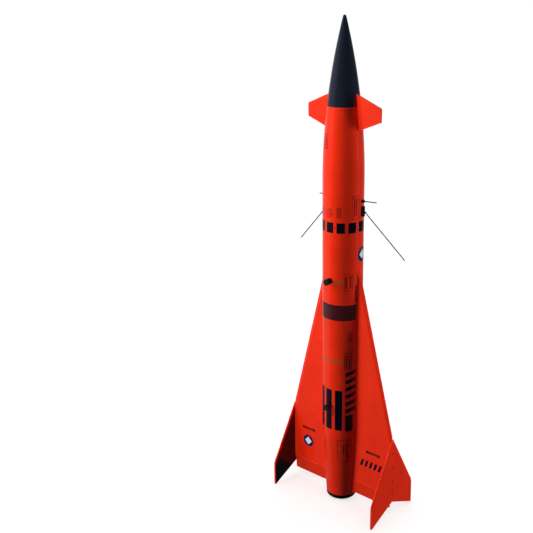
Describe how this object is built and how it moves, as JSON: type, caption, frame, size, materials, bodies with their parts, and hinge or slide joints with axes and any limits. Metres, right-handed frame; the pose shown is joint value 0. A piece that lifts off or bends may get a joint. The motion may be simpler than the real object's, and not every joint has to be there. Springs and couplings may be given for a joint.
{
  "type": "model rocket",
  "caption": "Tall model rocket: ogive nose with two canards, long body tube, swept wings with a vertical plate on each tip, wire antennas, conical tail and a screw-on motor retainer.",
  "frame": {"origin": "on the long axis, level with the lower tips of the tip plates, which the rocket stands on", "axes": "+Z towards the nose tip, +X towards the right wing, -Y the side with the two rail buttons"},
  "size_m": [0.1962, 0.103, 0.736],
  "materials": {
    "gloss_black": "glossy black paint on moulded plastic",
    "gloss_red": "glossy red-orange paint on moulded plastic",
    "tube_red": "glossy red-orange paint on a spiral-wound paper tube",
    "plain_black": "satin black moulded plastic",
    "shoulder_black": "unpainted grey-black moulded plastic",
    "kraft": "bare spiral-wound kraft paper",
    "plywood": "bare birch plywood, laser cut",
    "steel": "zinc-plated steel",
    "antenna_wire": "dark painted spring wire",
    "nylon": "thin ripstop nylon, folded"
  },
  "bodies": {
    "airframe": {"antenna_long_left": "antenna_wire", "antenna_long_right": "antenna_wire", "antenna_mount_lower_left": "plain_black", "antenna_mount_lower_right": "plain_black", "antenna_mount_upper_left": "plain_black", "antenna_mount_upper_right": "plain_black", "antenna_short_left": "antenna_wire", "antenna_short_right": "antenna_wire", "body_tube": "tube_red", "centering_ring_aft": "plywood", "centering_ring_forward": "plywood", "centering_ring_mid": "plywood", "elevon_left": "gloss_red", "elevon_right": "gloss_red", "motor_tube": "kraft", "rail_button_aft": "plain_black", "rail_button_forward": "plain_black", "rail_button_nuts": "steel", "rail_button_screws": "steel", "retainer_body": "plain_black", "shock_cord_mount": "kraft", "tail_cone": "gloss_red", "thrust_ring": "kraft", "tip_plate_left": "gloss_red", "tip_plate_pins_left": "gloss_red", "tip_plate_pins_right": "gloss_red", "tip_plate_right": "gloss_red", "wing_left": "gloss_red", "wing_right": "gloss_red", "wing_root_fairing_left": "gloss_red", "wing_root_fairing_right": "gloss_red"},
    "nose": {"nose_tip": "gloss_black", "nose_base": "gloss_red", "nose_shoulder": "shoulder_black", "nose_eyelet": "steel", "nose_eyelet_nut": "steel", "nose_bulkhead": "plywood", "nose_weight": "steel", "nose_weight_screw": "steel", "canard_left": "gloss_red", "canard_right": "gloss_red"},
    "parachute": {"parachute_pack": "nylon"},
    "retainer_cap": {"retainer_cap": "plain_black"}
  },
  "joints": [
    {"name": "nose_slide", "type": "slide", "parent": "airframe", "child": "nose", "axis": [0, 0, 1], "range_m": [0, 0.3]},
    {"name": "parachute_slide", "type": "slide", "parent": "airframe", "child": "parachute", "axis": [0, 0, 1], "range_m": [0, 0.24]},
    {"name": "retainer_slide", "type": "slide", "parent": "airframe", "child": "retainer_cap", "axis": [0, 0, -1], "range_m": [0, 0.13]}
  ],
  "couplings": [
    {"joint": "parachute_slide", "follows": "nose_slide", "ratio": 0.8}
  ]
}
